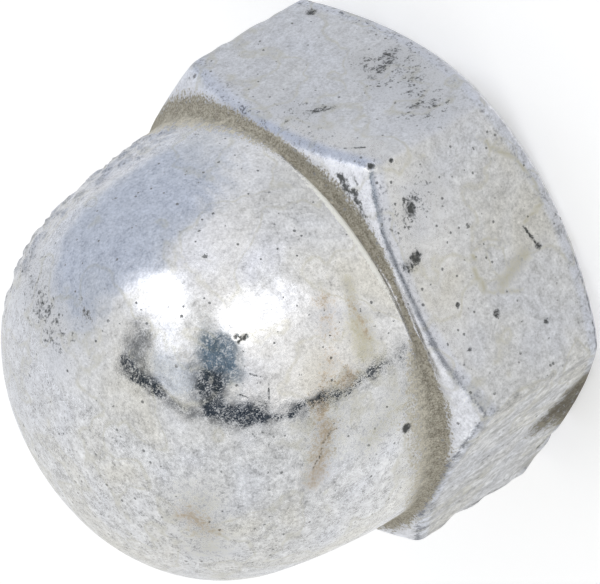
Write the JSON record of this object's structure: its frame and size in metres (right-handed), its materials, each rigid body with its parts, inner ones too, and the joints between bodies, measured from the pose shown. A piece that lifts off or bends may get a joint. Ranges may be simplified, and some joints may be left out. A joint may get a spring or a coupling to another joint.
{
  "type": "cap nut",
  "caption": "Domed hexagon nut with a blind tapped bore, closed at the dome end and flat at the bearing face.",
  "frame": {"origin": "centre of the bearing face, on the thread axis", "axes": "+Z along the thread axis from the bearing face towards the dome; +X towards a corner of the hexagon; +Y square to a flat"},
  "size_m": [0.0196, 0.017, 0.0176],
  "materials": {
    "zinc_plated_steel": "pale zinc plating on steel, satin, with fine dark specks, stains and brown dirt round the foot of the dome"
  },
  "bodies": {
    "root": {"cap_nut": "zinc_plated_steel"}
  },
  "joints": []
}
